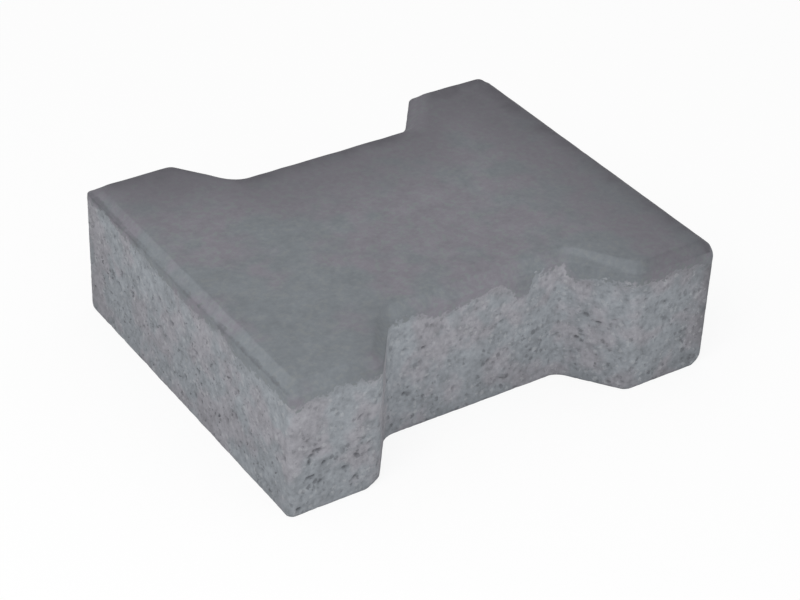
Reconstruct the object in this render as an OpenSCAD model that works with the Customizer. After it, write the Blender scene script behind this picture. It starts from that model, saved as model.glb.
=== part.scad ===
// Double-T interlocking paving stone, pressed in one piece from concrete.
// Two wide heads are joined by a narrower waist. In a laid course the heads of
// two neighbours fill each side notch, with a sand joint all round.
// The origin is at the middle of the bed face, +X runs from head to head, +Z is up.

/* [Stone] */
// Length over both heads
stone_length = 200; // [170:1:240]
// Width across a head
stone_width = 165; // [140:1:200]
// Thickness from bed face to wearing face
stone_height = 60; // [40:1:120]

/* [Interlock] */
// How far the waist is set back from the side of a head
notch_depth = 24; // [16:1:30]
// Length along the stone that each slanting flank takes up
flank_run = 18; // [10:1:24]
// Sand joint left between neighbouring stones
joint_gap = 2; // [1:0.5:5]

/* [Edges] */
// Width of the bevel, measured across the wearing face
bevel_width = 5; // [2:0.5:6]
// Drop of the bevel, measured down the side
bevel_drop = 4; // [1:0.5:8]
// Radius of the four outer corners
corner_radius = 2.5; // [1:0.5:8]
// Radius where the side of a head turns into a flank
shoulder_radius = 6; // [6:1:20]
// Radius where a flank turns into the waist
waist_radius = 8; // [6:1:18]

/* [Hidden] */
$fn = 96;

concrete_grey = [0.47, 0.48, 0.50];
// How far the bevel cutters reach past the stone, clear of its faces
cut_margin = 2;

half_length = stone_length / 2;
half_width = stone_width / 2;
half_waist = half_width - notch_depth;
// A notch takes two heads with a joint at each flank, which fixes the length of a head
head_length = (half_length - flank_run - joint_gap) / 2;
shoulder_x = half_length - head_length;
waist_x = shoulder_x - flank_run;

// Corners of one quarter of the outline, counter-clockwise, each [x, y, radius]
quarter = [
    [half_length, half_width, corner_radius],
    [shoulder_x, half_width, shoulder_radius],
    [waist_x, half_waist, waist_radius]
];

function mirrored(list, x_sign, y_sign) = [for (c = list) [x_sign * c[0], y_sign * c[1], c[2]]];
function reversed(list) = [for (i = [len(list) - 1 : -1 : 0]) list[i]];

corners = concat(
    quarter,
    reversed(mirrored(quarter, -1, 1)),
    mirrored(quarter, -1, -1),
    reversed(mirrored(quarter, 1, -1))
);
corner_ids = [0 : len(corners) - 1];

// The outline as straight stretches and tangent arcs, one arc to each corner
function corner(i) = corners[(i + len(corners)) % len(corners)];
function spot(i) = [corner(i)[0], corner(i)[1]];
function radius(i) = corner(i)[2];
function along(angle) = [cos(angle), sin(angle)];
function left_of(angle) = [-sin(angle), cos(angle)];
function heading(i) = let (step = spot(i + 1) - spot(i)) atan2(step[1], step[0]);
function turn(i) = let (swing = heading(i) - heading(i - 1))
    swing > 180 ? swing - 360 : swing < -180 ? swing + 360 : swing;
function is_outer(i) = turn(i) > 0;
function tangent(i) = radius(i) * tan(abs(turn(i)) / 2);
function arc_start(i) = spot(i) - tangent(i) * along(heading(i - 1));
function arc_end(i) = spot(i) + tangent(i) * along(heading(i));
function arc_centre(i) = arc_start(i) + sign(turn(i)) * radius(i) * left_of(heading(i - 1));
function stretch(i) = norm(arc_start(i + 1) - arc_end(i));

// Section of the bevel cutter as [distance inwards from the side, height]
function bevel_section(reach) =
    let (
        slope = bevel_drop / bevel_width,
        foot = stone_height - bevel_drop,
        roof = stone_height + cut_margin
    )
    [
        [-cut_margin, foot - cut_margin * slope],
        [reach, foot + reach * slope],
        [reach, roof],
        [-cut_margin, roof]
    ];

module outline() {
    difference() {
        union() {
            polygon([for (i = corner_ids) each [arc_start(i), arc_end(i)]]);
            for (i = corner_ids)
                if (is_outer(i)) translate(arc_centre(i)) circle(r = radius(i));
        }
        for (i = corner_ids)
            if (!is_outer(i)) translate(arc_centre(i)) circle(r = radius(i));
    }
}

module straight_bevel(i) {
    translate(arc_end(i))
        rotate(heading(i))
            rotate([90, 0, 90])
                linear_extrude(height = stretch(i))
                    polygon(bevel_section(bevel_width));
}

// The slice of plan that one arc takes up, from its centre past both ends
module arc_slice(i) {
    spread = 1 + (bevel_width + cut_margin) / radius(i);
    start = arc_start(i) - arc_centre(i);
    end = arc_end(i) - arc_centre(i);
    linear_extrude(height = stone_height + 2 * cut_margin)
        polygon([[0, 0], spread * start, spread * (start + end), spread * end]);
}

module arc_bevel(i) {
    side = is_outer(i) ? -1 : 1;
    reach = is_outer(i) ? min(bevel_width, radius(i)) : bevel_width;
    translate(arc_centre(i))
        intersection() {
            rotate_extrude()
                polygon([for (p = bevel_section(reach)) [radius(i) + side * p[0], p[1]]]);
            arc_slice(i);
        }
}

module paving_stone() {
    color(concrete_grey)
        difference() {
            linear_extrude(height = stone_height) outline();
            for (i = corner_ids) {
                straight_bevel(i);
                arc_bevel(i);
            }
        }
}

paving_stone();
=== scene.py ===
import math

import bmesh
import bpy
import numpy as np
from bpy.props import FloatProperty, FloatVectorProperty, IntProperty, PointerProperty
from mathutils import Matrix, Vector, noise
from mathutils.geometry import delaunay_2d_cdt


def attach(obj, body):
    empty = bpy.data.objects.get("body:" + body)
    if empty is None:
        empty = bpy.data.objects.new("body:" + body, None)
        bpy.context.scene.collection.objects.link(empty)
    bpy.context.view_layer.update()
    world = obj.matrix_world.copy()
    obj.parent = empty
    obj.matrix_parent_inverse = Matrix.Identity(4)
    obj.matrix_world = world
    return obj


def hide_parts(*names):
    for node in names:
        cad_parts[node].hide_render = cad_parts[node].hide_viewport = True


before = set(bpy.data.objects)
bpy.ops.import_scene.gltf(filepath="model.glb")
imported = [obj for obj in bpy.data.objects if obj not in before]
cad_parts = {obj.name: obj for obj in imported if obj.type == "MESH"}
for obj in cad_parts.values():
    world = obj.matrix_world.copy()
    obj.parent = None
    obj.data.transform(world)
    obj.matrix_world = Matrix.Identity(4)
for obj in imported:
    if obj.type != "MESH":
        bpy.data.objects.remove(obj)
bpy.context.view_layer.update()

bl_info = {
    "name": "Concrete Paving Stone",
    "version": (1, 0, 0),
    "blender": (4, 5, 0),
    "location": "View3D > Sidebar > Paving",
    "description": "A double-T paving stone with its cast relief, its concrete finish and a plain stage",
    "category": "Add Mesh",
}

NODE = "paving_stone"
MM = 0.001

# Plan of the notches, in millimetres: X and Y of the far right shoulder and waist corner, and the
# unit way from the flank between them into the head
SHOULDER = (60, 82.5)
WAIST = (42, 58.5)
INTO_HEAD = (0.8, -0.6)

# The four outer corners: signs of X and Y, and the length of the slanting chip off each at the bed
# and under the bevel, in millimetres
CORNERS = ((1, 1, 2.5, 4.2), (-1, 1, 2.2, 1.2), (-1, -1, 1.6, 1.6), (1, -1, 4.8, 4.2))
# The way that the chip off the near left shoulder looks
SHOULDER_WAY = (0.63, -1.26)
# How far round a corner a chip may reach and how softly it ends, in millimetres, and its roughness
CHIP_REACH = 15
CHIP_BLEND = 1.6
CHIP_ROUGH = 0.08
# How far along the outline the bevel's softened mitres reach, in millimetres
CORNER_ZONE = 12
SHOULDER_ZONE = 7

# Where the smooth cement skin of the wearing face ends below the arris, in millimetres:
# along X on the near side, and along Y on the left end
SKIN_END_NEAR = (
    (-100, 6.4), (-97, 5.8), (-92.5, 4.5), (-88, 3.6), (-84, 3.8), (-80, 2.2), (-75, 3.4), (-70, 3.4),
    (-65, 4.3), (-58.5, 4.0), (-44, 1.5), (-37, 2.6), (-31.5, 2.6), (-25.4, 3.3), (-19, 5.6),
    (-13, 6.4), (-9, 4.8), (-4, 3.5), (3, 3.1), (8.5, 1.7), (15, 4.9), (19, 11.0), (23, 11.4),
    (25, 8.8), (26.7, 1.6), (34, 1.9), (40.5, 1.4), (42, 4.0), (43.5, 6.2), (45, 7.6), (47, 7.4),
    (48.5, 6.6), (51.3, 6.0), (55, 5.6), (57, 4.6), (60, 4.6), (64.5, 5.4), (70, 5.0), (75, 4.8),
    (84, 4.5), (94, 5.6), (100, 6.2),
)
SKIN_END_LEFT = (
    (-82, 6.2), (-77, 4.8), (-68, 4.4), (-57, 5.4), (-47, 6.4), (-40, 5.2), (-32, 2.9), (-19, 4.1),
    (-7, 5.0), (3, 4.7), (13, 4.3), (24, 3.5), (34, 2.7), (45, 2.7), (56, 1.6), (66, 1.4), (82, 2.5),
)
# The same on the hidden sides, as a mean and a sway, and on all sides how far the end frays and the
# least that it is below the arris
SKIN_END_MEAN = 4.4
SKIN_END_SWAY = 3.4
SKIN_END_FRAY = 0.7
SKIN_END_LEAST = 0.6

# The larger voids in the sides: x, y, z, half width and half height in millimetres
LARGE_VOIDS = (
    (48.0, -66.5, 32.0, 1.7, 1.3), (51.5, -71.0, 29.5, 1.6, 0.9), (-100.0, 52.4, 32.6, 1.5, 2.6),
    (-100.0, 43.0, 28.8, 1.3, 1.5), (-100.0, -10.2, 32.0, 2.8, 1.1), (-100.0, -12.5, 24.0, 1.3, 1.4),
    (-90.9, -82.5, 16.0, 2.3, 0.9), (-87.0, -82.5, 27.4, 1.9, 1.1), (-90.2, -82.5, 25.9, 1.4, 1.1),
    (-90.7, -82.5, 22.9, 1.0, 1.5), (-86.7, -82.5, 12.2, 1.6, 0.9), (-85.0, -82.5, 20.8, 1.3, 1.2),
    (-75.3, -82.5, 14.5, 1.3, 1.2), (-71.0, -82.5, 8.2, 1.3, 1.2), (-70.6, -82.5, 18.8, 1.1, 1.2),
    (-96.0, -82.5, 2.6, 1.6, 1.2), (-100.0, -78.2, 25.5, 1.6, 1.7), (-100.0, -41.0, 21.4, 1.7, 1.8),
    (-100.0, -42.7, 33.9, 1.6, 1.7), (-100.0, -9.1, 10.9, 1.6, 1.4), (-100.0, 36.5, 39.1, 1.5, 1.5),
    (-100.0, 55.0, 26.5, 1.5, 1.4), (-100.0, 18.6, 40.0, 1.4, 1.3), (-100.0, -1.8, 14.6, 1.4, 1.4),
    (-100.0, 8.9, 34.2, 1.5, 1.3), (-100.0, -53.2, 20.4, 1.4, 1.3), (-33.5, -58.5, 17.8, 1.3, 1.1),
    (-25.0, -58.5, 37.0, 1.8, 0.8), (7.0, -58.5, 19.0, 1.2, 1.5), (46.0, -64.0, 20.0, 1.4, 1.1),
)
# The scattered voids: the two powers that gather them low on the sides, their lowest place in
# millimetres and their reach as a share of the side, their half size in millimetres and the power
# that makes large ones rare, how far they are drawn out, and their depth against a large void's
VOID_GATHER = (1.1, 1.9)
VOID_LOWEST = 1.5
VOID_REACH = 0.97
VOID_SIZE = (0.55, 1.3)
VOID_RARITY = 2.5
VOID_STRETCH = (0.75, 1.5)
VOID_SHARE = (0.3, 0.75)
# How blunt the bowl of a void is
VOID_BOWL = 0.6

# How the sides change, in millimetres: from grit to skin and from voids to none by height over the
# end of the skin, to voids and full grit by distance from an outer corner, and to full grit and
# standing grains by height over the bed
SKIN_BLEND = (-1.2, 0.2)
VOID_BLEND = (0.5, -1.5)
VOID_CLEAR = (2, 4)
GRIT_CLEAR = (1, 8)
GRIT_UP = (0, 5)
GRAINS_DOWN = (46, 8)
# Depth of the waves in the skin, in millimetres: below the arris, half way up the bevel, and on the
# wearing face from its swell and its grain
SKIN_DIP = 0.06
BEVEL_DIP = 0.10
SWELL_DIP = 0.05
GRAIN_DIP = 0.03
# How far the upper edge of the bevel wavers and is worn down, and how high the wear of the lower
# arris reaches, in millimetres
EDGE_WAVER = 0.4
EDGE_WORN = 0.10
BED_WEAR_UP = 0.9
# How far the points that fill the wearing face and the bed stay from their rims, in millimetres
TOP_CLEAR = 0.9
BED_CLEAR = 3

# How dark the line under the bevel is along Y on the left end: place in millimetres, share. The line is a
# shallow groove in the relief, darkened further with painted shade
LINE_LEFT = (
    (-82, 0.55), (-76, 0.75), (-58, 0.72), (-45, 0.6), (-20, 0.5), (25, 0.48), (50, 0.8), (82, 0.9),
)
# Between these places it widens along Y on the left end, and is lost along X on the near side
LINE_WIDENS = (-10, 60)
LINE_LOST = (48, 58)
# How softly it ends down the side and up the bevel, against its reach, and how far below the arris
# it has its full depth, in millimetres
LINE_FOOT = (1.4, 0.6)
LINE_TOP = (1.35, 0.65)
LINE_DEEP = (-1, 0.5)

# Painted light (plus) and painted shade (minus): how much lighter or darker the grit, the skin below
# the arris and the bevel are, along X on the near side and along Y on the left end: place in
# millimetres, share
GRIT_NEAR = (
    (-60, 0.03), (-59.9, 0), (-45.1, 0), (-45, 0.08), (-34, 0.08), (-20, 0), (29, 0), (37, 0.03),
    (43.9, 0.03), (44, 0), (68, 0), (98, -0.13),
)
GRIT_LEFT = ((60, 0), (80, -0.11))
SKIN_NEAR = ((-78, 0.13), (-64, -0.04), (-50, -0.04), (-49.9, 0.13), (45, 0.13), (72, -0.09))
SKIN_LEFT = ((-54, 0.12), (-36, 0.05), (58, 0.05), (74, 0))
BEVEL_NEAR = ((58, 0), (66, -0.1))
BEVEL_LEFT = ((-83, 0.051), (-73, 0.17), (46, 0.17), (66, 0.102), (72, 0.102), (81, 0.017))
# The same painted shade for bands of grit on the near side, with the heights between which each sets in
GRIT_CORNER = ((92, 0), (98, -0.24))
CORNER_RISE = (5, 14)
GRIT_SHADE = ((41, 0), (44, -0.12))
SHADE_RISE = (40, 52)
GRIT_FOOT = ((-72, 0), (-64, -0.09), (-50, -0.09), (-49.9, 0), (-36, 0), (-24, -0.09))
FOOT_RISE = (12, 1)
# The same painted light and shade for whole stretches: the waist, the right end, the grit from mid
# height up to the arris (darker towards the bed), the right end's bevel and the bevel on those flanks
# of the left head that look right
GRIT_WAIST = 0.04
GRIT_RIGHT = -0.18
GRIT_UPWARDS = 0.08
BEVEL_RIGHT = -0.04
BEVEL_FLANK = -0.04
# A painted highlight: the lighter strip up the bevel by the near flank of the right head, with painted
# shade at its foot, along X in millimetres: where its foot is as a share of the bevel, how full it is,
# and how much lighter
STRIP_FOOT = ((44, 0.52), (60, 0), (69.23, -0.3))
STRIP_FULL = ((38, 0), (45, 1), (62.5, 1), (65.5, 0))
STRIP_LIGHT = 0.12
# Where the bevel's painted light and shade give way to the wearing face's, as a share of the way up
BEVEL_END = (1, 0.92)

# Painted shade along the far and right rims of the wearing face: how far in its close and its
# wide part fade, how far its edge wavers, and how strong it is along X from the left end on, in
# millimetres and shares
RIM_CLOSE = (3, 16)
RIM_WIDE = (10, 60)
RIM_WAVER = 2.5
RIM_ALONG = ((-100, 0.4), (-86, 1))
# How much it thins on the bevel, how far down, and how far from the right end
RIM_THINNED = 0.4
RIM_DOWN = (0.3, 2)
RIM_KEPT = (4, 7)
# More painted shade inside the near flank of the left head and less inside the far flank of the
# right head: how strong at each distance in from the flank, and where along Y
FLANK_SHADE = ((-1, 0), (3, 0.16), (6, 0.16), (16, 0))
FLANK_SHADE_ALONG = (-44, -56)
FLANK_UNSHADED = ((-1, 0), (3, 0.62), (6, 0.62), (11, 0))
FLANK_UNSHADED_ALONG = ((47, 0), (55, 1), (76, 1), (81, 0))
# Where the wearing face has more or less painted shade than its rim: x, y and radius in millimetres, share
SHADE_SPOTS = ((80, 52, 30, 0.2), (78, 68, 11, 0.16), (-65, 64, 14, 0.2), (90, -76, 13, -0.14))
# Warmer (plus) and greener (minus) clouds in the concrete: x, y, z and radius in millimetres, share
CLOUDS = (
    (-5, -20, 60, 32, 0.10), (28, -28, 60, 26, 0.10), (57, -62, 60, 16, -0.14),
    (85, -72, 60, 14, 0.12), (-50, 25, 60, 26, -0.08), (-80, 30, 60, 20, 0.05),
    (-66, -35, 60, 24, -0.06), (50, 68, 60, 15, 0.15), (51, 0, 60, 17, -0.12),
    (-39, -10, 60, 17, -0.12), (-98, 10, 58, 30, -0.14), (-98, -52, 58, 22, -0.14),
    (-42, -64, 56, 13, -0.22), (56, -80, 55, 12, -0.12), (47, -66, 55, 9, -0.2),
    (78, -80, 58, 12, 0.14), (-100, -2, 40, 15, 0.2), (-90, -82, 35, 11, 0.26),
    (-78, -82, 50, 11, -0.26), (-80, -82, 14, 13, -0.12), (-100, -48, 16, 10, 0.14),
    (-10, -58, 44, 13, 0.3), (12, -58, 17, 16, -0.28), (52, -70, 32, 14, 0.16), (32, -58, 44, 9, 0.2),
)

# Noises in the relief: size of the lumps in millimetres, octaves, and a shift that sets each apart
GRIT_BROAD = (14, 2, 1.0)
GRIT_COARSE = (4.2, 2, 2.0)
GRIT_FINE = (1.9, 1, 3.0)
GRIT_PORES = (2.6, 2, 4.0)
SKIN_SWEEP = (26, 3, 5.0)
LINE_WAVE = (8, 3, 6.0)
BED_CRUMBLE = (7, 2, 7.0)
BEVEL_WAVE = (9, 3, 8.0)
SKIN_FRAY = (5, 2, 9.0)
TOP_SWELL = (32, 2, 11.0)
TOP_GRAIN = (3, 1, 12.0)
RIM_SHADE_WAVE = (18, 2, 13.0)
BEVEL_EDGE = (13, 2, 14.0)

# Noises in the finish: size of the lumps in millimetres, detail
PATCHES = (21.0, 2.0)
MOTTLE = (7.0, 3.0)
SAND = (2.1, 3.0)
DUST = (0.7, 2.0)
PORE_GROUPS = (5.0, 1.0)
# Spots in the finish: spacing in millimetres, and the largest spot as a share of it
PORES = (2.4, 0.62)
FLECKS = (2.5, 0.58)
# Where the grit has more pores, in millimetres: down Z, out to both ends, and there along Y
PORES_DOWN = (46.0, 10.0)
PORES_OUT = (97.0, 99.4)
PORES_ALONG = (-78.0, -70.0)
# How much warmer the skin gets with each millimetre along Y, and the Y at which that starts from nothing
WARMER_FAR = 0.0012
WARMTH_EVEN = -38.0
# The height over the end of the skin that marks skin all over. Minus it, on the bed, marks grit
WELL_CLEAR = 20.0


class PavingReliefSettings(bpy.types.PropertyGroup):
    """How finely the stone is meshed and how deep its cast relief is"""

    side_step: FloatProperty(
        name="Side step", description="Mesh spacing on the sides and the bevel",
        default=0.78 * MM, min=0.5 * MM, unit="LENGTH")
    top_step: FloatProperty(
        name="Top step", description="Mesh spacing on the wearing face",
        default=1.45 * MM, min=1 * MM, unit="LENGTH")
    bed_step: FloatProperty(
        name="Bed step", description="Mesh spacing on the bed face",
        default=5 * MM, min=2 * MM, unit="LENGTH")
    rough_depth: FloatProperty(
        name="Rough depth", description="Mean depth of the gritty sides under the mould line",
        default=0.24 * MM, min=0, unit="LENGTH")
    void_depth: FloatProperty(
        name="Void depth", description="Depth of the larger voids",
        default=1.4 * MM, min=0, unit="LENGTH")
    void_count: IntProperty(
        name="Voids", description="How many scattered voids the sides have",
        default=620, min=0)
    groove_depth: FloatProperty(
        name="Groove depth", description="Depth of the dark line where the bevel meets the side",
        default=0.55 * MM, min=0, unit="LENGTH")
    bed_wear: FloatProperty(
        name="Bed edge wear", description="How far the lower arris is worn back",
        default=0.4 * MM, min=0, unit="LENGTH")
    corner_wear: FloatProperty(
        name="Corner wear", description="Share of the full chips off the outer corners",
        default=1.0, min=0, max=1, subtype="FACTOR")
    shoulder_wear: FloatProperty(
        name="Shoulder wear", description="Length of the chip off the lower shoulder by the near notch",
        default=3.6 * MM, min=0, unit="LENGTH")
    seed: IntProperty(
        name="Seed", description="Seed of the scattered voids", default=4)


class PavingFinishSettings(bpy.types.PropertyGroup):
    """Colours and surface of the concrete"""

    skin_blue: FloatVectorProperty(
        name="Skin, blue grey", description="Cement skin of the wearing face and bevel",
        subtype="COLOR", default=(0.171, 0.187, 0.202), min=0, max=1)
    skin_violet: FloatVectorProperty(
        name="Skin, violet grey", description="Warmer clouds in the cement skin",
        subtype="COLOR", default=(0.187, 0.180, 0.204), min=0, max=1)
    skin_green: FloatVectorProperty(
        name="Skin, green grey", description="Small greenish specks in the cement skin",
        subtype="COLOR", default=(0.177, 0.190, 0.198), min=0, max=1)
    # Colour of the painted shade along the far and right rims of the wearing face
    skin_edge_shade: FloatVectorProperty(
        name="Skin, edge shade", description="Darker rim of the wearing face",
        subtype="COLOR", default=(0.094, 0.091, 0.104), min=0, max=1)
    grit_blue: FloatVectorProperty(
        name="Grit, blue grey", description="Open concrete of the sides",
        subtype="COLOR", default=(0.259, 0.277, 0.299), min=0, max=1)
    grit_warm: FloatVectorProperty(
        name="Grit, warm grey", description="Pinkish clouds in the sides",
        subtype="COLOR", default=(0.276, 0.274, 0.297), min=0, max=1)
    pore: FloatVectorProperty(
        name="Pores", description="Shaded pores and voids",
        subtype="COLOR", default=(0.090, 0.094, 0.105), min=0, max=1)
    fleck: FloatVectorProperty(
        name="Flecks", description="Pale sand grains in the sides",
        subtype="COLOR", default=(0.45, 0.46, 0.48), min=0, max=1)
    # The pores are painted as dark spots of shade
    pore_shade_share: FloatProperty(
        name="Pore strength", description="How much of their colour the pores show",
        default=0.8, min=0, max=1, subtype="FACTOR")
    fleck_share: FloatProperty(
        name="Fleck strength", description="How much of their colour the pale grains show",
        default=0.28, min=0, max=1, subtype="FACTOR")
    # The voids are real hollows, darkened further with painted shade
    void_shade_share: FloatProperty(
        name="Void strength", description="How much of the pores' colour the voids show",
        default=0.5, min=0, max=1, subtype="FACTOR")
    # The line at the arris is a real groove whose dark colour is painted shade
    line_shade_share: FloatProperty(
        name="Line strength", description="How much of the pores' colour the line at the arris shows",
        default=0.5, min=0, max=1, subtype="FACTOR")
    skin_roughness: FloatProperty(
        name="Skin roughness", description="Roughness of the cement skin",
        default=0.79, min=0, max=1, subtype="FACTOR")
    grit_roughness: FloatProperty(
        name="Grit roughness", description="Roughness of the open concrete",
        default=0.93, min=0, max=1, subtype="FACTOR")
    gloss: FloatProperty(
        name="Gloss", description="Strength of the reflection off the concrete",
        default=0.25, min=0, max=1, subtype="FACTOR")
    bump_share: FloatProperty(
        name="Bump strength", description="How strongly the finest grains shade the surface",
        default=0.6, min=0, max=1, subtype="FACTOR")
    bump_depth: FloatProperty(
        name="Bump depth", description="Height of the finest grains",
        default=0.6 * MM, min=0, unit="LENGTH")


class PavingStageSettings(bpy.types.PropertyGroup):
    """Camera, lamps and floor"""

    azimuth: FloatProperty(
        name="Azimuth", description="Camera's turn about the stone, from straight in front",
        subtype="ANGLE", default=math.radians(-34.609))
    elevation: FloatProperty(
        name="Elevation", description="Camera's height angle",
        subtype="ANGLE", default=math.radians(34.109))
    roll: FloatProperty(
        name="Roll", description="Camera's turn about its own axis",
        subtype="ANGLE", default=math.radians(2.51))
    distance: FloatProperty(
        name="Distance", description="Camera's distance from the middle of the bed face",
        default=0.9261, unit="LENGTH")
    aside: FloatVectorProperty(
        name="Aside", description="How far the camera is moved right and up in its own view",
        size=2, default=(3.038 * MM, 13.88 * MM), unit="LENGTH")
    lens: FloatProperty(
        name="Lens", description="Focal length in millimetres", default=98.83, min=1)
    sensor: FloatProperty(
        name="Sensor", description="Width of the camera's sensor in millimetres", default=36, min=1)
    floor_colour: FloatVectorProperty(
        name="Floor", description="Colour of the floor",
        subtype="COLOR", default=(0.93, 0.93, 0.93), min=0, max=1)
    floor_white: FloatProperty(
        name="Floor white", description="Share of plain white in the floor that the camera sees",
        default=0.88, min=0, max=1, subtype="FACTOR")
    floor_half: FloatProperty(
        name="Floor half size", description="Half the length of the square floor",
        default=6, min=1, unit="LENGTH")
    floor_drop: FloatProperty(
        name="Floor drop", description="How far the floor lies under the bed face",
        default=0.2 * MM, min=0, unit="LENGTH")
    sky_strength: FloatProperty(
        name="Sky", description="Strength of the even light all round", default=0.72, min=0)
    key_power: FloatProperty(
        name="Key lamp", description="Power of the lamp on the left", default=2.0, min=0, unit="POWER")
    key_place: FloatVectorProperty(
        name="Key lamp place", description="Where the lamp on the left hangs",
        size=3, default=(-0.40, -0.28, 0.62), unit="LENGTH")
    key_size: FloatProperty(
        name="Key lamp size", description="Side of the square lamp on the left",
        default=0.4, min=0, unit="LENGTH")
    fill_power: FloatProperty(
        name="Fill lamp", description="Power of the lamp in front", default=0.8, min=0, unit="POWER")
    fill_place: FloatVectorProperty(
        name="Fill lamp place", description="Where the lamp in front stands",
        size=3, default=(0.25, -1.15, 0.26), unit="LENGTH")
    fill_size: FloatProperty(
        name="Fill lamp size", description="Side of the square lamp in front",
        default=0.6, min=0, unit="LENGTH")
    lamp_aim: FloatVectorProperty(
        name="Lamp aim", description="The point that both lamps look at",
        size=3, default=(0, 0, 0.04), unit="LENGTH")


def rim_of(mesh, up):
    """Plan points round the flat face that looks up (1) or down (-1), counter-clockwise."""
    solid = bmesh.new()
    solid.from_mesh(mesh)
    bmesh.ops.remove_doubles(solid, verts=solid.verts, dist=1e-6)
    flat = {face for face in solid.faces if face.normal.z * up > 0.999}
    beside = {}
    for edge in solid.edges:
        if sum(face in flat for face in edge.link_faces) == 1:
            a, b = edge.verts
            beside.setdefault(a, []).append(b)
            beside.setdefault(b, []).append(a)
    if not beside:
        raise RuntimeError("the stone has no flat face to follow")
    start = max(beside, key=lambda v: v.co.x + v.co.y)
    loop, last, here = [], None, start
    while here is not start or not loop:
        loop.append((here.co.x, here.co.y))
        last, here = here, next(v for v in beside[here] if v is not last)
    solid.free()
    points = np.array(loop)
    x, y = points.T
    area = (x * np.roll(y, -1) - y * np.roll(x, -1)).sum()
    return points if area > 0 else points[::-1]


def spaced(loop, count):
    """The closed loop as evenly spaced points, each point's way round, and the whole way."""
    closed = np.vstack([loop, loop[:1]])
    lengths = np.hypot(*np.diff(closed, axis=0).T)
    way = np.concatenate([[0], np.cumsum(lengths)])
    steps = np.linspace(0, way[-1], count, endpoint=False)
    return np.column_stack([np.interp(steps, way, closed[:, k]) for k in (0, 1)]), steps, way[-1]


def outward(loop):
    """Unit plan normals of a counter-clockwise loop."""
    along = np.roll(loop, -1, 0) - np.roll(loop, 1, 0)
    normal = np.column_stack([along[:, 1], -along[:, 0]])
    return normal / np.linalg.norm(normal, axis=1, keepdims=True)


def inset(loop, normals, steps, length, width):
    """The loop moved in by width, with its outer corners and shoulders drawn to a softened mitre."""
    inner = loop - normals * width
    half = np.abs(loop).max(0)
    for *sign, _, _ in CORNERS:
        shoulder = np.multiply(SHOULDER, sign) * MM
        for corner, zone in ((half * sign, CORNER_ZONE * MM), (shoulder, SHOULDER_ZONE * MM)):
            middle = steps[np.argmin(np.linalg.norm(loop - corner, axis=1))]
            gap = (steps - middle + length / 2) % length - length / 2
            before, after = (np.argmin(np.abs(gap - side * zone)) for side in (-1, 1))
            turned = normals[before] + normals[after]
            mitre = corner - width * turned * 2 / (turned @ turned)
            near = np.abs(gap) < zone
            share = (gap[near, None] + zone) / (2 * zone)
            first, last = (1 - share) ** 3, share ** 3
            inner[near] = first * inner[before] + last * inner[after] + (1 - first - last) * mitre
    return inner


def lumps(points, size, octaves, shift):
    """Noise of about -1 to 1 at the points, with lumps of the given size in millimetres."""
    move = Vector((shift, -2.3 * shift, 1.7 * shift))
    scale = 1 / (size * MM)
    return np.array([
        noise.fractal(Vector(p) * scale + move, 1.0, 2.0, octaves, noise_basis="PERLIN_ORIGINAL")
        for p in points.tolist()])


def ease(low, high, value):
    """Smooth step from 0 at low to 1 at high."""
    share = np.clip((value - low) / (high - low), 0, 1)
    return share * share * (3 - 2 * share)


def fade(low, high, value):
    """Smooth step from 0 at low to 1 at high, both in millimetres."""
    return ease(low * MM, high * MM, value)


def traced(table, place):
    """Values at the places from a table of place in millimetres and value, straight between its rows."""
    places, values = np.array(table).T
    return np.interp(place, places * MM, values)


def eased(table, place):
    """Values at the places from a table of place in millimetres and value, eased between its rows."""
    places, values = np.array(table).T
    row = np.clip(np.searchsorted(places * MM, place), 1, len(places) - 1)
    share = fade(places[row - 1], places[row], place)
    return values[row - 1] + share * (values[row] - values[row - 1])


def soft_spots(points, table):
    """Sum of soft round spots at the points, from a table of place, radius and share."""
    return sum(
        share * np.exp(-((points / MM - place) ** 2).sum(1) / radius ** 2)
        for *place, radius, share in table)


def past_flank(x, y):
    """How far points lie from the far flank into the right head, or turned half round, into the left."""
    return INTO_HEAD[0] * (x - WAIST[0] * MM) + INTO_HEAD[1] * (y - WAIST[1] * MM)


def inside(points, loop):
    """Which points lie within the closed loop."""
    x, y = points[:, 0], points[:, 1]
    hit = np.zeros(len(points), bool)
    for (x0, y0), (x1, y1) in zip(loop, np.roll(loop, -1, 0)):
        if y0 != y1:
            hit ^= ((y0 > y) != (y1 > y)) & (x < (x1 - x0) * (y - y0) / (y1 - y0) + x0)
    return hit


def nearest(points, loop):
    """Distance from each point to the nearest point of the loop, worked out in parts to save memory."""
    return np.concatenate([
        np.linalg.norm(part[:, None] - loop[None], axis=2).min(1)
        for part in np.array_split(points, max(1, len(points) // 1000))])


def filled(loop, step, clear):
    """Points and triangles that fill the loop, with the loop's own points first."""
    low, high = loop.min(0), loop.max(0)
    rows = []
    for k, y in enumerate(np.arange(low[1], high[1], step * math.sqrt(3) / 2)):
        x = np.arange(low[0] + step / 2 * (k % 2), high[0], step)
        rows.append(np.column_stack([x, np.full(len(x), y)]))
    grid = np.vstack(rows)
    grid = grid[inside(grid, loop)]
    grid = grid[nearest(grid, loop) > clear]
    points = np.vstack([loop, grid])
    count = len(loop)
    edges = [(k, (k + 1) % count) for k in range(count)]
    made = delaunay_2d_cdt([Vector(p) for p in points], edges, [], 1, 1e-9)
    if len(made[0]) != len(points):
        raise RuntimeError("the flat faces did not mesh cleanly")
    faces = np.array(made[2])
    a, b, c = (points[faces[:, k]] for k in range(3))
    turn = (b[:, 0] - a[:, 0]) * (c[:, 1] - a[:, 1]) - (b[:, 1] - a[:, 1]) * (c[:, 0] - a[:, 0])
    faces[turn < 0] = faces[turn < 0][:, ::-1]
    return points, faces


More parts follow.
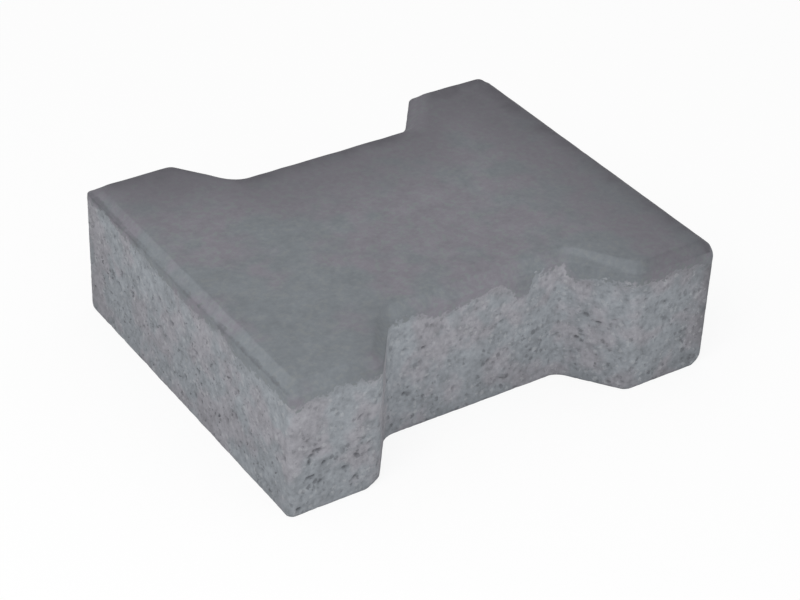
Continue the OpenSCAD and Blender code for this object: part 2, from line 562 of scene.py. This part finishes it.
def chip(grid, coarse, corner, outwards, level, size):
    """Move the grid's points by one corner, at the bed or the arris, back to a slanting plane."""
    facing = np.array((*outwards, 1 if level > 0 else -1))
    past = (grid - (*corner, level)) @ facing + size * (1 + CHIP_ROUGH * coarse)
    past[np.linalg.norm(grid[..., :2] - corner, axis=-1) > CHIP_REACH * MM] = -1
    blend = CHIP_BLEND * MM
    move = np.where(np.abs(past) < blend, (past + blend) ** 2 / (4 * blend), np.maximum(past, 0))
    grid -= move[..., None] * facing / (facing @ facing)


class Stone:
    """The stone's surface as rings round its outline, with a filled top and bed."""

    def __init__(self, mesh, relief):
        """Take the outline, the heights and the bevel from the CAD mesh."""
        self.relief = relief
        co = np.array([v.co for v in mesh.vertices])
        self.height = co[:, 2].max()
        self.arris = co[co[:, 0] > co[:, 0].max() - 1e-6][:, 2].max()
        bed = rim_of(mesh, -1)
        self.half = np.abs(bed).max(0)
        self.bevel = self.half[0] - np.abs(rim_of(mesh, 1)).max(0)[0]
        self.columns = int(round(spaced(bed, 1)[2] / relief.side_step / 4)) * 4
        self.loop, self.steps, self.length = spaced(bed, self.columns)
        self.normals = outward(self.loop)
        self.inner = inset(self.loop, self.normals, self.steps, self.length, self.bevel)
        self.rows = int(round(self.arris / relief.side_step))
        slope = math.hypot(self.bevel, self.height - self.arris)
        self.bevel_rows = int(round(slope / relief.side_step))

    def ring(self, height):
        """The outline's points at one height."""
        return np.column_stack([self.loop, np.full(self.columns, height)])

    def on_left(self, facing=0.9):
        """Which columns are on the left end."""
        return (self.normals[:, 0] < -facing) & (self.loop[:, 0] < 2 * MM - self.half[0])

    def on_right(self, low, high, depth):
        """Share by which a column within a depth in millimetres of the right end looks right, low to high."""
        return ease(low, high, self.normals[:, 0]) * (self.loop[:, 0] > self.half[0] - depth * MM)

    def on_hidden_slope(self):
        """Share by which a column is on a flank of the left head that looks right."""
        return ease(0.05, 0.55, self.normals[:, 0]) * (self.loop[:, 0] < 0)

    def facing_near(self):
        """Share by which a column looks towards -Y."""
        return ease(0.3, 0.9, -self.normals[:, 1])

    def skin_end(self):
        """How far below the arris the cement skin ends at each column."""
        x, y = self.loop.T
        ring = self.ring(self.arris)
        drop = SKIN_END_MEAN + SKIN_END_SWAY * lumps(ring, *SKIN_SWEEP)
        near = (y < 0) & (np.abs(x) < self.half[0] - 1 * MM)
        left = self.on_left(0.7)
        drop[near] = traced(SKIN_END_NEAR, x[near])
        drop[left] = traced(SKIN_END_LEFT, y[left])
        drop += SKIN_END_FRAY * lumps(ring, *SKIN_FRAY)
        return np.maximum(drop, SKIN_END_LEAST) * MM

    def void_spots(self):
        """The voids: way round the outline, height, half width, half height and depth as a share."""
        draw = np.random.default_rng(self.relief.seed)
        spots = []
        for x, y, height, half_width, half_height in LARGE_VOIDS:
            column = np.argmin(np.hypot(*(self.loop - np.array((x, y)) * MM).T))
            spots.append((self.steps[column], height * MM, half_width * MM, half_height * MM, 1.0))
        least, most = VOID_SIZE
        for _ in range(self.relief.void_count):
            way = draw.uniform(0, self.length)
            height = draw.beta(*VOID_GATHER) * self.arris * VOID_REACH + VOID_LOWEST * MM
            size = (least + (most - least) * draw.random() ** VOID_RARITY) * MM
            stretch = draw.uniform(*VOID_STRETCH)
            spots.append((way, height, size * stretch, size / stretch, draw.uniform(*VOID_SHARE)))
        return spots

    def voids(self, z):
        """Depth of the voids in the sides, on the grid of rows and columns."""
        depth = np.zeros((len(z), self.columns))
        for way, height, half_width, half_height, share in self.void_spots():
            across = ((self.steps - way + self.length / 2) % self.length - self.length / 2) / half_width
            up = (z - height) / half_height
            block = np.ix_(np.abs(up) < 1, np.abs(across) < 1)
            reach = across[block[1]] ** 2 + up[block[0]] ** 2
            bowl = share * self.relief.void_depth * np.clip(1 - reach, 0, 1) ** VOID_BOWL
            depth[block] = np.maximum(depth[block], bowl)
        return depth

    def arris_line(self):
        """The line at the arris, a shallow groove darkened with painted shade: its strength, its reach down
        the side, and up the bevel as a share.
        """
        x, y = self.loop.T
        waver = lumps(self.ring(self.arris), *LINE_WAVE)
        # Faint and broken all round, then strong on the left end. Its reach down is in millimetres
        strength = np.clip(0.05 + 0.3 * waver, 0, 0.35)
        strength *= 1 - self.facing_near() * fade(*LINE_LOST, x)
        down = 1.1 + 0.5 * waver
        up = np.full(self.columns, 0.16)
        left = self.on_left()
        y, waver = y[left], waver[left]
        far = fade(*LINE_WIDENS, y)
        strength[left] = traced(LINE_LEFT, y) * (1 + 0.4 * waver)
        down[left] = np.clip(0.9 + 0.4 * far + 1.0 * waver, 0.4, 2.2)
        up[left] = np.clip(0.24 + 0.15 * far + 0.08 * waver, 0.16, 0.46)
        return np.clip(strength, 0, 1), down * MM, up

    def side(self, line, skin):
        """Grid of side points from the bed up to the arris, and the marks that the finish reads."""
        relief = self.relief
        strength, down, _ = line
        z = np.linspace(0, self.arris, self.rows + 1)
        level = z[:, None]
        grid = np.dstack([np.repeat(self.loop[None], len(z), 0), np.repeat(level, self.columns, 1)])
        broad, coarse, fine, pores = (
            lumps(grid.reshape(-1, 3), *kind).reshape(grid.shape[:2])
            for kind in (GRIT_BROAD, GRIT_COARSE, GRIT_FINE, GRIT_PORES))
        above = level - (self.arris - skin)
        rough = 1 - fade(*SKIN_BLEND, above)
        to_corner = np.linalg.norm(np.abs(self.loop) - self.half, axis=1)
        voids = self.voids(z) * fade(*VOID_BLEND, above) * fade(*VOID_CLEAR, to_corner)
        # Grit is finer by the bed and the outer corners, and its grains stand out more lower down
        grit = rough * (0.4 + 0.6 * fade(*GRIT_UP, level)) * (0.3 + 0.7 * fade(*GRIT_CLEAR, to_corner))
        grains = 0.7 * coarse + 0.6 * fine + 1.6 * ease(0.16, 0.5, pores)
        depth = relief.rough_depth * grit * (
            1 + 0.35 * broad + (0.55 + 0.35 * fade(*GRAINS_DOWN, level)) * grains)
        depth += (1 - rough) * SKIN_DIP * MM * (1 + broad) + voids
        groove = strength * ease(*LINE_FOOT, (self.arris - level) / down)
        depth += relief.groove_depth * groove * fade(*LINE_DEEP, self.arris - level)
        crumble = np.clip(0.65 + 0.3 * lumps(self.ring(0), *BED_CRUMBLE), 0.1, 1.2)
        depth += relief.bed_wear * np.exp(-level / (BED_WEAR_UP * MM)) * crumble
        grid[..., :2] -= np.maximum(depth, 0)[..., None] * self.normals
        self.wear_corners(grid, coarse)
        return grid, {
            "skin_height": above / MM,
            "void": voids / MM,
            "groove": groove,
            "painted_shading": self.side_painted_shading(level, rough),
        }

    def side_painted_shading(self, level, rough):
        """Painted light and shade on the sides: on the open grit where they are rough, on the cement skin
        elsewhere.
        """
        x, y = self.loop.T
        near, left, front = self.facing_near(), self.on_left(), y < 0
        grit = 1 + near * eased(GRIT_NEAR, x) + left * eased(GRIT_LEFT, y)
        grit += GRIT_WAIST * (np.abs(x) < WAIST[0] * MM) + GRIT_RIGHT * self.on_right(0.2, 0.75, 4)
        grit = grit * (1 + GRIT_UPWARDS * (2 * level / self.arris - 1))
        bands = (
            (near, GRIT_CORNER, CORNER_RISE), (front, GRIT_SHADE, SHADE_RISE), (front, GRIT_FOOT, FOOT_RISE))
        for where, table, rise in bands:
            grit += where * eased(table, x) * fade(*rise, level)
        skin = 1 + near * eased(SKIN_NEAR, x) + left * eased(SKIN_LEFT, y)
        return grit * rough + skin * (1 - rough)

    def wear_corners(self, grid, coarse):
        """Wear the corners at the bed and under the bevel, and the shoulder by the near notch."""
        relief = self.relief
        for *sign, at_bed, at_arris in CORNERS:
            corner = self.half * sign
            chip(grid, coarse, corner, sign, 0, relief.corner_wear * at_bed * MM)
            chip(grid, coarse, corner, sign, self.arris, relief.corner_wear * at_arris * MM)
        chip(grid, coarse, -np.array(SHOULDER) * MM, SHOULDER_WAY, 0, relief.shoulder_wear)

    def bevel_rings(self, arris_ring, line):
        """Rings from the arris up the bevel to the rim of the wearing face, with their marks."""
        strength, _, reach = line
        share = np.linspace(0, 1, self.bevel_rows + 1)[1:, None]
        edge = lumps(np.column_stack([self.inner, np.full(self.columns, self.height)]), *BEVEL_EDGE)
        inner = self.inner + self.normals * (EDGE_WAVER * MM * edge)[:, None]
        rim = np.column_stack([inner, np.full(self.columns, self.height - EDGE_WORN * MM)])
        rings = arris_ring + share[..., None] * (rim - arris_ring)
        wave = lumps(rings.reshape(-1, 3), *BEVEL_WAVE).reshape(rings.shape[:2])
        groove = strength * ease(*LINE_TOP, share / reach)
        rings[..., 2] -= BEVEL_DIP * MM * (1 + wave) * np.sin(math.pi * share)
        rings[..., 2] -= 0.5 * self.relief.groove_depth * groove
        return rings, {
            "skin_height": np.full(wave.shape, WELL_CLEAR),
            "void": np.zeros(wave.shape),
            "groove": groove,
            "painted_shading": self.bevel_painted_shading(share),
        }

    def bevel_painted_shading(self, share):
        """Painted light and shade on the bevel, with its painted highlight strip, at each share of the way up
        it.
        """
        x, y = self.loop.T
        bevel_light_and_shade = self.on_left() * eased(BEVEL_LEFT, y)
        bevel_light_and_shade += self.facing_near() * (0.4 * eased(SKIN_NEAR, x) + eased(BEVEL_NEAR, x))
        bevel_light_and_shade += BEVEL_RIGHT * self.on_right(0.5, 0.9, 2) + BEVEL_FLANK * self.on_hidden_slope()
        # A painted highlight strip up the bevel, with painted shade at its foot
        over_foot = share - traced(STRIP_FOOT, x)
        strip = ease(-0.12, 0.12, over_foot) - 0.4 * ease(0, -0.2, over_foot)
        strip *= STRIP_LIGHT * eased(STRIP_FULL, x) * (y < 0)
        return 1 + (bevel_light_and_shade + strip) * ease(*BEVEL_END, share)

    def build(self):
        """Points, quads and triangles, the marks that the finish reads, and the flat map."""
        relief = self.relief
        n = self.columns
        line = self.arris_line()
        side, marks = self.side(line, self.skin_end())
        rings, ring_marks = self.bevel_rings(side[-1], line)
        wall = np.concatenate([side, rings])
        levels = len(wall)
        ids = np.arange(levels * n).reshape(levels, n)
        beside = np.roll(ids, -1, 1)
        quads = np.stack([ids[:-1], beside[:-1], beside[1:], ids[1:]], -1).reshape(-1, 4)

        top_plan, top_faces = filled(wall[-1, :, :2], relief.top_step, TOP_CLEAR * MM)
        top_points = np.column_stack([top_plan, np.full(len(top_plan), self.height)])[n:]
        swell, grain = (1 + lumps(top_points, *kind) for kind in (TOP_SWELL, TOP_GRAIN))
        top_points[:, 2] -= np.clip((SWELL_DIP * swell + GRAIN_DIP * grain) * MM, 0, None)
        top_ids = np.concatenate([ids[-1], levels * n + np.arange(len(top_points))])

        bed_plan, bed_faces = filled(wall[0, :, :2], relief.bed_step, BED_CLEAR * MM)
        bed_points = np.column_stack([bed_plan, np.zeros(len(bed_plan))])[n:]
        bed_ids = np.concatenate([ids[0], levels * n + len(top_points) + np.arange(len(bed_points))])

        points = np.vstack([wall.reshape(-1, 3), top_points, bed_points])
        tris = np.vstack([top_ids[top_faces], bed_ids[bed_faces][:, ::-1]])

        flats = {"skin_height": (WELL_CLEAR, -WELL_CLEAR), "void": (0, 0), "groove": (0, 0), "painted_shading": (1, 1)}
        marks = {
            name: np.concatenate([
                marks[name].ravel(), ring_marks[name].ravel(),
                np.full(len(top_points), on_top), np.full(len(bed_points), on_bed)])
            for name, (on_top, on_bed) in flats.items()}
        marks["edge_shade"] = self.edge_shade(points)
        marks["warmth"] = soft_spots(points, CLOUDS)
        return points, quads, tris, marks, self.flat_map(points, quads, tris, levels)

    def edge_shade(self, points):
        """Share of the painted shade along the far and right edges of the wearing face."""
        x, y, z = points.T
        to_right = self.half[0] - x
        to_far = np.interp(np.abs(x), *np.array((WAIST, SHOULDER)).T * MM) - y
        rim = np.minimum(to_right, to_far) + RIM_WAVER * MM * lumps(points * (1, 1, 0), *RIM_SHADE_WAVE)
        share = 1 - 0.5 * fade(*RIM_CLOSE, rim) - 0.5 * fade(*RIM_WIDE, rim)
        share += eased(FLANK_SHADE, past_flank(-x, -y)) * fade(*FLANK_SHADE_ALONG, y) * (x < 0)
        share *= 1 - eased(FLANK_UNSHADED, past_flank(x, y)) * eased(FLANK_UNSHADED_ALONG, y) * (x > 0)
        share *= eased(RIM_ALONG, x)
        share += soft_spots(points[:, :2], SHADE_SPOTS)
        thinned = RIM_THINNED * fade(*RIM_DOWN, self.height - z) * fade(*RIM_KEPT, to_right)
        return (z > self.arris - 0.5 * MM) * np.maximum(share, 0) * (1 - thinned)

    def flat_map(self, points, quads, tris, levels):
        """A map with the top, the bed and four lengths of side laid out flat, one place per face corner."""
        n = self.columns
        half_x, half_y = self.half
        gap = 4 * MM
        quarter = n // 4
        column = np.tile(np.arange(n), levels - 1)
        level = np.repeat(np.arange(levels - 1), n)
        strip = column // quarter
        across = (column - strip * quarter)[:, None] + np.array((0, 1, 1, 0))
        up = level[:, None] + np.array((0, 0, 1, 1))
        left = np.where(strip % 2 == 0, 0, 2 * half_x + gap)
        base = 2 * half_y + gap + (strip // 2) * ((levels - 1) * self.relief.side_step + gap)
        side_uv = np.dstack([
            across * self.length / n + left[:, None],
            up * self.relief.side_step + base[:, None]])
        plan = points[tris][..., :2] + (half_x, half_y)
        is_bed = points[tris][..., 2].mean(1) < self.arris / 2
        plan[is_bed] += (2 * half_x + gap, 0)
        uv = np.concatenate([side_uv.reshape(-1, 2), plan.reshape(-1, 2)])
        if len(uv) != quads.size + tris.size:
            raise RuntimeError("the flat map does not fit the mesh")
        return (uv + gap / 2) / (4 * half_x + 2 * gap)


class Flow:
    """A shader socket for use in Python expressions, each of which adds its Math nodes."""

    def __init__(self, graph, socket):
        """Wrap one output of a node."""
        self.graph = graph
        self.socket = socket

    def __add__(self, other):
        return self.graph.maths("ADD", self, other)

    def __radd__(self, other):
        return self.graph.maths("ADD", other, self)

    def __sub__(self, other):
        return self.graph.maths("SUBTRACT", self, other)

    def __rsub__(self, other):
        return self.graph.maths("SUBTRACT", other, self)

    def __mul__(self, other):
        return self.graph.maths("MULTIPLY", self, other)

    def __rmul__(self, other):
        return self.graph.maths("MULTIPLY", other, self)


class Graph:
    """A material's or world's nodes."""

    def __init__(self, owner):
        """Start the owner's nodes afresh."""
        owner.use_nodes = True
        self.tree = owner.node_tree
        self.tree.nodes.clear()

    def node(self, kind, settings=None, sockets=None):
        """Add a node, set it up, fill its inputs and return its outputs by name and identifier."""
        made = self.tree.nodes.new(kind)
        for name, value in (settings or {}).items():
            setattr(made, name, value)
        by_name = {s.name: s for s in reversed(made.inputs)} | {s.identifier: s for s in made.inputs}
        for name, value in (sockets or {}).items():
            socket = made.inputs[name] if isinstance(name, int) else by_name[name]
            if isinstance(value, Flow):
                self.tree.links.new(value.socket, socket)
            else:
                socket.default_value = value
        return {s.name: Flow(self, s) for s in reversed(made.outputs)} | {
            s.identifier: Flow(self, s) for s in made.outputs}

    def maths(self, operation, first, second):
        """One Math node on two values."""
        return self.node("ShaderNodeMath", {"operation": operation}, {0: first, 1: second})["Value"]

    def mark(self, name):
        """A number that the mesh carries at each point."""
        return self.node("ShaderNodeAttribute", {"attribute_name": name})["Fac"]

    def clouds(self, place, size, detail):
        """Even noise about 0, from -0.5 to 0.5, with lumps of the given size in millimetres."""
        return self.node("ShaderNodeTexNoise", None, {
            "Vector": place, "Scale": 1 / size, "Detail": detail, "Roughness": 0.55})["Fac"] - 0.5

    def spots(self, place, size, largest, ragged):
        """Scattered round spots of mixed size, some cells without: 1 in a spot, 0 between them."""
        cells = self.node("ShaderNodeTexVoronoi", {"feature": "F1"}, {"Vector": place, "Scale": 1 / size})
        chance = self.node("ShaderNodeSeparateColor", None, {"Color": cells["Color"]})["Red"]
        none = 0.25
        return self.ease(0.0, 0.22, chance * (largest + none) - none - cells["Distance"] + ragged)

    def ease(self, low, high, value):
        """Smooth step from 0 at low to 1 at high."""
        if low > high:
            return 1 - self.ease(high, low, value)
        return self.node("ShaderNodeMapRange", {"interpolation_type": "SMOOTHSTEP"}, {
            "Value": value, "From Min": low, "From Max": high})["Result"]

    def mix(self, share, first, second):
        """One colour turning into another."""
        return self.node("ShaderNodeMix", {"data_type": "RGBA"}, {
            "Factor_Float": share, "A_Color": first, "B_Color": second})["Result_Color"]

    def scaled(self, vector, factor):
        """A colour or a vector times a number."""
        return self.node("ShaderNodeVectorMath", {"operation": "SCALE"}, {
            "Vector": vector, "Scale": factor})["Vector"]

    def seen_plainly(self):
        """1 for rays from the camera and for those that mirrors and glass pass on."""
        path = self.node("ShaderNodeLightPath")
        total = path["Is Camera Ray"] + path["Is Glossy Ray"] + path["Is Transmission Ray"]
        return self.maths("MINIMUM", total, 1.0)

    def end_white(self, kind, share, plain, white):
        """End in an output of the given kind, with a share of the white shader in the plain one."""
        surface = self.node("ShaderNodeMixShader", None, {0: share, 1: plain, 2: white})["Shader"]
        self.node(kind, None, {"Surface": surface})


def rgba(colour):
    """A colour setting as a socket takes it."""
    return (*colour, 1.0)


def concrete_finish(finish):
    """Cement skin on the wearing face and bevel, open grit with pores and pale grains on the sides."""
    material = bpy.data.materials.new("pressed_concrete")
    graph = Graph(material)
    place = graph.scaled(graph.node("ShaderNodeTexCoord")["Object"], 1 / MM)
    axes = graph.node("ShaderNodeSeparateXYZ", None, {"Vector": place})
    # Painted light and shade, carried by the mesh, scales both the skin and the grit
    painted_shading = graph.mark("painted_shading")
    warmth = graph.mark("warmth")
    patches, mottle, sand, dust = (
        graph.clouds(place, *kind) for kind in (PATCHES, MOTTLE, SAND, DUST))
    dark = rgba(finish.pore)

    # The skin is warmer towards the far side, specked, and darker with painted shade along the far and right
    # rims
    skin = graph.ease(-1.0, 1.2, graph.mark("skin_height") + 12.0 * sand + 7.0 * mottle)
    violet = graph.ease(
        -0.08, 0.10, 0.8 * patches + 0.2 * mottle + WARMER_FAR * (axes["Y"] - WARMTH_EVEN) + warmth)
    skin_colour = graph.mix(violet, rgba(finish.skin_blue), rgba(finish.skin_violet))
    skin_colour = graph.mix(graph.ease(0.0, 0.16, sand), skin_colour, rgba(finish.skin_green))
    skin_colour = graph.scaled(skin_colour, painted_shading * (1 + 0.35 * mottle + 0.36 * sand + 0.1 * dust))
    skin_colour = graph.mix(
        graph.mark("edge_shade") * (0.9 + 0.9 * mottle), skin_colour, rgba(finish.skin_edge_shade))

    # The grit has more pores lower down and on both ends, in groups. The pores are dark spots of painted
    # shade
    warm = graph.ease(-0.06, 0.10, patches + 0.3 * mottle + 0.6 * warmth)
    grit_colour = graph.mix(warm, rgba(finish.grit_blue), rgba(finish.grit_warm))
    grit_colour = graph.scaled(grit_colour, painted_shading * (1 + 0.7 * mottle + 0.65 * sand + 0.15 * dust))
    ends = graph.ease(*PORES_OUT, -1 * axes["X"]) + graph.ease(*PORES_OUT, axes["X"])
    often = 0.42 + 0.3 * graph.ease(*PORES_DOWN, axes["Z"])
    often = often + 0.34 * ends * graph.ease(*PORES_ALONG, axes["Y"])
    groups = 0.3 + 0.7 * graph.ease(-0.1, 0.1, graph.clouds(place, *PORE_GROUPS))
    pores = graph.spots(place, *PORES, 1.2 * dust) * often * groups
    grit_colour = graph.mix(pores * finish.pore_shade_share, grit_colour, dark)
    flecks = graph.spots(place, *FLECKS, dust)
    grit_colour = graph.mix(flecks * finish.fleck_share, grit_colour, rgba(finish.fleck))

    colour = graph.mix(skin, grit_colour, skin_colour)
    # Painted shade in the voids, in the pores' colour
    void_shade = graph.ease(0.35, 1.3, graph.mark("void"))
    colour = graph.mix(void_shade * finish.void_shade_share, colour, dark)
    # Painted shade in the groove under the bevel, in the pores' colour
    line = graph.ease(0.25, 0.9, graph.mark("groove") + 1.6 * sand)
    colour = graph.mix(line * finish.line_shade_share, colour, dark)

    grit_height = 0.4 + 0.5 * sand + 0.3 * dust + 0.25 * flecks - 0.6 * pores
    skin_height = 0.11 + 0.12 * sand + 0.10 * dust
    normal = graph.node("ShaderNodeBump", None, {
        "Strength": finish.bump_share,
        "Distance": finish.bump_depth,
        "Height": grit_height * (1 - skin) + skin_height * skin,
    })["Normal"]
    surface = graph.node("ShaderNodeBsdfPrincipled", None, {
        "Base Color": colour,
        "Roughness": finish.grit_roughness - (finish.grit_roughness - finish.skin_roughness) * skin,
        "Specular IOR Level": finish.gloss,
        "Normal": normal,
    })["BSDF"]
    graph.node("ShaderNodeOutputMaterial", None, {"Surface": surface})
    return material


def floor_finish(stage):
    """Pale floor that looks white to the camera and keeps the stone's shadow."""
    material = bpy.data.materials.new("pale_floor")
    graph = Graph(material)
    plain = graph.node("ShaderNodeBsdfPrincipled", None, {
        "Base Color": rgba(stage.floor_colour), "Roughness": 1.0, "Specular IOR Level": 0.0})["BSDF"]
    white = graph.node("ShaderNodeEmission", None, {"Color": (1, 1, 1, 1), "Strength": 1.0})["Emission"]
    graph.end_white("ShaderNodeOutputMaterial", graph.seen_plainly() * stage.floor_white, plain, white)
    return material


def white_sky(stage):
    """Even light all round, white to the camera."""
    world = bpy.data.worlds.new("even_sky")
    graph = Graph(world)
    even, white = (
        graph.node("ShaderNodeBackground", None, {"Color": (1, 1, 1, 1), "Strength": strength})["Background"]
        for strength in (stage.sky_strength, 1.0))
    graph.end_white("ShaderNodeOutputWorld", graph.seen_plainly(), even, white)
    return world


def placed(name, data):
    """A new object in the scene."""
    made = bpy.data.objects.new(name, data)
    bpy.context.scene.collection.objects.link(made)
    return made


def softbox(name, place, aim, size, power):
    """A square lamp that looks at a point."""
    lamp = bpy.data.lights.new(name, "AREA")
    lamp.shape = "SQUARE"
    lamp.size = size
    lamp.energy = power
    made = placed(name, lamp)
    made.location = place
    made.rotation_euler = (Vector(aim) - Vector(place)).to_track_quat("-Z", "Y").to_euler()


def photo_camera(stage):
    """A camera at the photo's angle."""
    turn, lift = stage.azimuth, stage.elevation
    back = Vector((math.sin(turn) * math.cos(lift), -math.cos(turn) * math.cos(lift), math.sin(lift)))
    right = Vector((math.cos(turn), math.sin(turn), 0))
    up = back.cross(right)
    c, s = math.cos(stage.roll), math.sin(stage.roll)
    right, up = c * right + s * up, c * up - s * right
    lens = bpy.data.cameras.new("photo_view")
    lens.sensor_fit = "HORIZONTAL"
    lens.sensor_width = stage.sensor
    lens.lens = stage.lens
    lens.clip_start = 10 * MM
    camera = placed("photo_view", lens)
    place = back * stage.distance + right * stage.aside[0] + up * stage.aside[1]
    camera.matrix_world = Matrix.Translation(place) @ Matrix((right, up, back)).transposed().to_4x4()
    return camera


class PAVING_OT_stone(bpy.types.Operator):
    """Build the stone with its cast relief over the CAD outline"""

    bl_idname = "paving.stone"
    bl_label = "Paving stone"

    def execute(self, context):
        """Make the mesh, give it its marks, flat map and finish, and let it stand for the CAD node."""
        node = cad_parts[NODE]
        points, quads, tris, marks, uv = Stone(node.data, context.scene.paving_relief).build()
        mesh = bpy.data.meshes.new("stone_relief")
        loops = np.concatenate([quads.ravel(), tris.ravel()]).astype(np.int32)
        sizes = np.repeat((4, 3), (len(quads), len(tris)))
        starts = (np.cumsum(sizes) - sizes).astype(np.int32)
        mesh.vertices.add(len(points))
        mesh.vertices.foreach_set("co", points.astype(np.float32).ravel())
        mesh.loops.add(len(loops))
        mesh.loops.foreach_set("vertex_index", loops)
        mesh.polygons.add(len(starts))
        mesh.polygons.foreach_set("loop_start", starts)
        mesh.polygons.foreach_set("use_smooth", np.ones(len(starts), bool))
        flat = mesh.uv_layers.new(name="OFBake")
        flat.uv.foreach_set("vector", uv.astype(np.float32).ravel())
        for name, values in marks.items():
            mark = mesh.attributes.new(name, "FLOAT", "POINT")
            mark.data.foreach_set("value", values.astype(np.float32))
        mesh.update(calc_edges=True)
        if mesh.validate(verbose=False):
            raise RuntimeError("the stone's mesh had to be mended")
        mesh.materials.append(concrete_finish(context.scene.paving_finish))
        piece = placed("stone_relief", mesh)
        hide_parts(NODE)
        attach(piece, "root")
        return {"FINISHED"}


class PAVING_OT_stage(bpy.types.Operator):
    """Lay the floor, set the lamps and place the camera"""

    bl_idname = "paving.stage"
    bl_label = "Stage"

    def execute(self, context):
        """Make the floor, the even light, the two lamps and the camera."""
        scene = context.scene
        stage = scene.paving_stage
        sheet = bpy.data.meshes.new("floor")
        grid = bmesh.new()
        bmesh.ops.create_grid(grid, x_segments=1, y_segments=1, size=stage.floor_half)
        grid.to_mesh(sheet)
        grid.free()
        sheet.materials.append(floor_finish(stage))
        floor = placed("floor", sheet)
        floor.location.z = -stage.floor_drop
        scene.world = white_sky(stage)
        softbox("key_lamp", stage.key_place, stage.lamp_aim, stage.key_size, stage.key_power)
        softbox("fill_lamp", stage.fill_place, stage.lamp_aim, stage.fill_size, stage.fill_power)
        scene.camera = photo_camera(stage)
        scene.view_settings.view_transform = "Standard"
        return {"FINISHED"}


class PAVING_PT_panel(bpy.types.Panel):
    """The stone and its stage"""

    bl_idname = "PAVING_PT_panel"
    bl_label = "Paving stone"
    bl_space_type = "VIEW_3D"
    bl_region_type = "UI"
    bl_category = "Paving"

    def draw(self, context):
        """List the settings in three boxes, then the two operators."""
        scene = context.scene
        for settings in (scene.paving_relief, scene.paving_finish, scene.paving_stage):
            box = self.layout.box()
            for name in type(settings).__annotations__:
                box.prop(settings, name)
        for operator in (PAVING_OT_stone, PAVING_OT_stage):
            self.layout.operator(operator.bl_idname)


CLASSES = (
    PavingReliefSettings,
    PavingFinishSettings,
    PavingStageSettings,
    PAVING_OT_stone,
    PAVING_OT_stage,
    PAVING_PT_panel,
)


def register():
    """Register the classes and hang the settings on the scene."""
    for cls in CLASSES:
        bpy.utils.register_class(cls)
    bpy.types.Scene.paving_relief = PointerProperty(type=PavingReliefSettings)
    bpy.types.Scene.paving_finish = PointerProperty(type=PavingFinishSettings)
    bpy.types.Scene.paving_stage = PointerProperty(type=PavingStageSettings)


def unregister():
    """Take the settings off the scene and unregister the classes."""
    del bpy.types.Scene.paving_stage
    del bpy.types.Scene.paving_finish
    del bpy.types.Scene.paving_relief
    for cls in reversed(CLASSES):
        bpy.utils.unregister_class(cls)


def main():
    register()
    bpy.ops.paving.stone()
    bpy.ops.paving.stage()
    bpy.context.view_layer.update()


if __name__ == "__main__":
    main()
